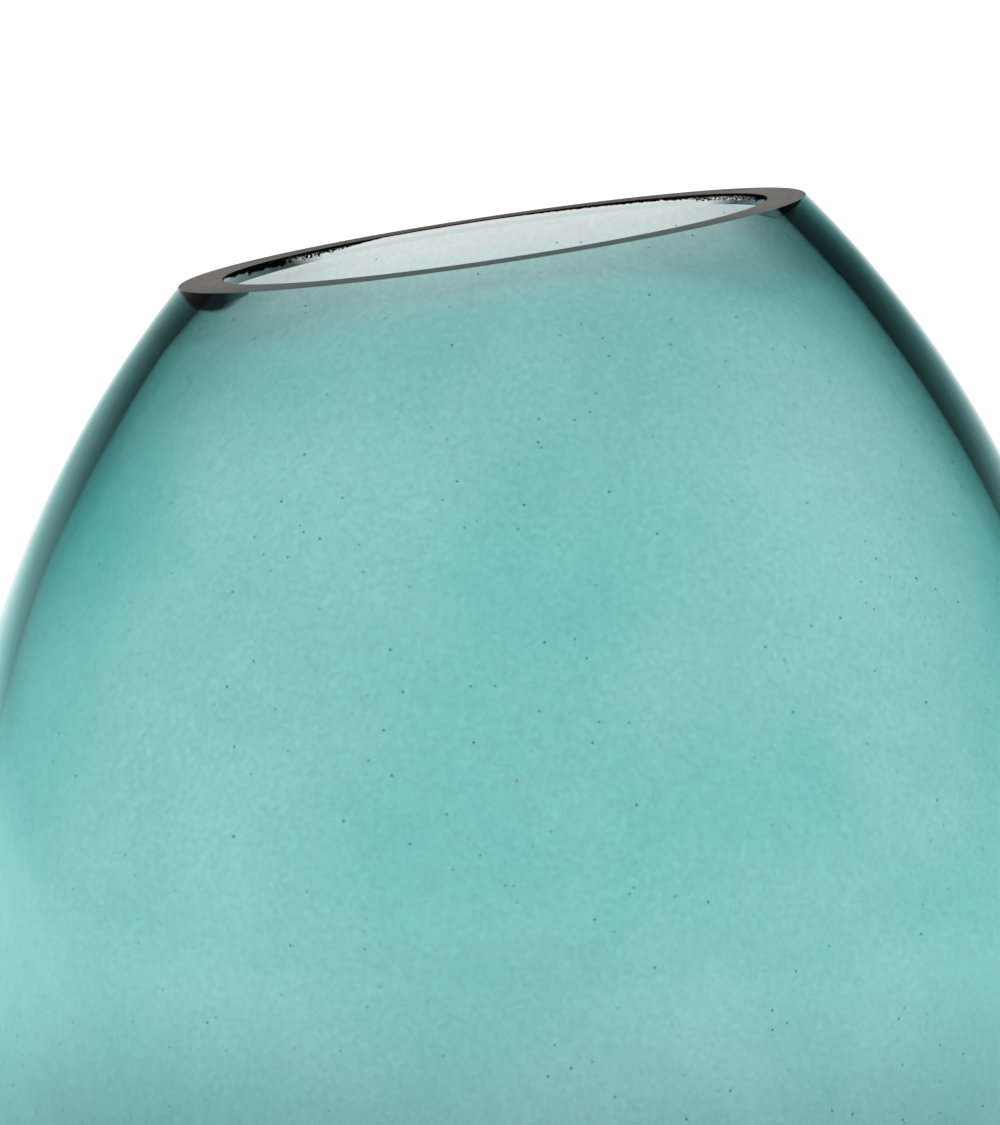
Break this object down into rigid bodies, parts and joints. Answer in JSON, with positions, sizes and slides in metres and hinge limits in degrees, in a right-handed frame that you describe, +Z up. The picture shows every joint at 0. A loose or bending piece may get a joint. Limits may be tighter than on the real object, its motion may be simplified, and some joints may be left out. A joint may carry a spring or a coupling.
{
  "type": "glass vase",
  "caption": "Egg-shaped blown glass vase with a wide belly, a small flat ground foot and a slanted, ground mouth, in teal glass cased in clear.",
  "frame": {"origin": "centre of the base, on the surface that the vase stands on", "axes": "+Z up along the vase's axis; +X towards the high side of the slanted mouth; +Y away from the front"},
  "size_m": [0.225, 0.225, 0.25],
  "materials": {
    "smoke_glass": "polished inside, ground on the mouth",
    "teal_glass": "transparent powder colour, softly clouded",
    "clear_glass": "fire polished, ground on the mouth and the foot"
  },
  "bodies": {
    "root": {"inner_bubble": "smoke_glass", "colour_layer": "teal_glass", "outer_casing": "clear_glass"}
  },
  "joints": []
}
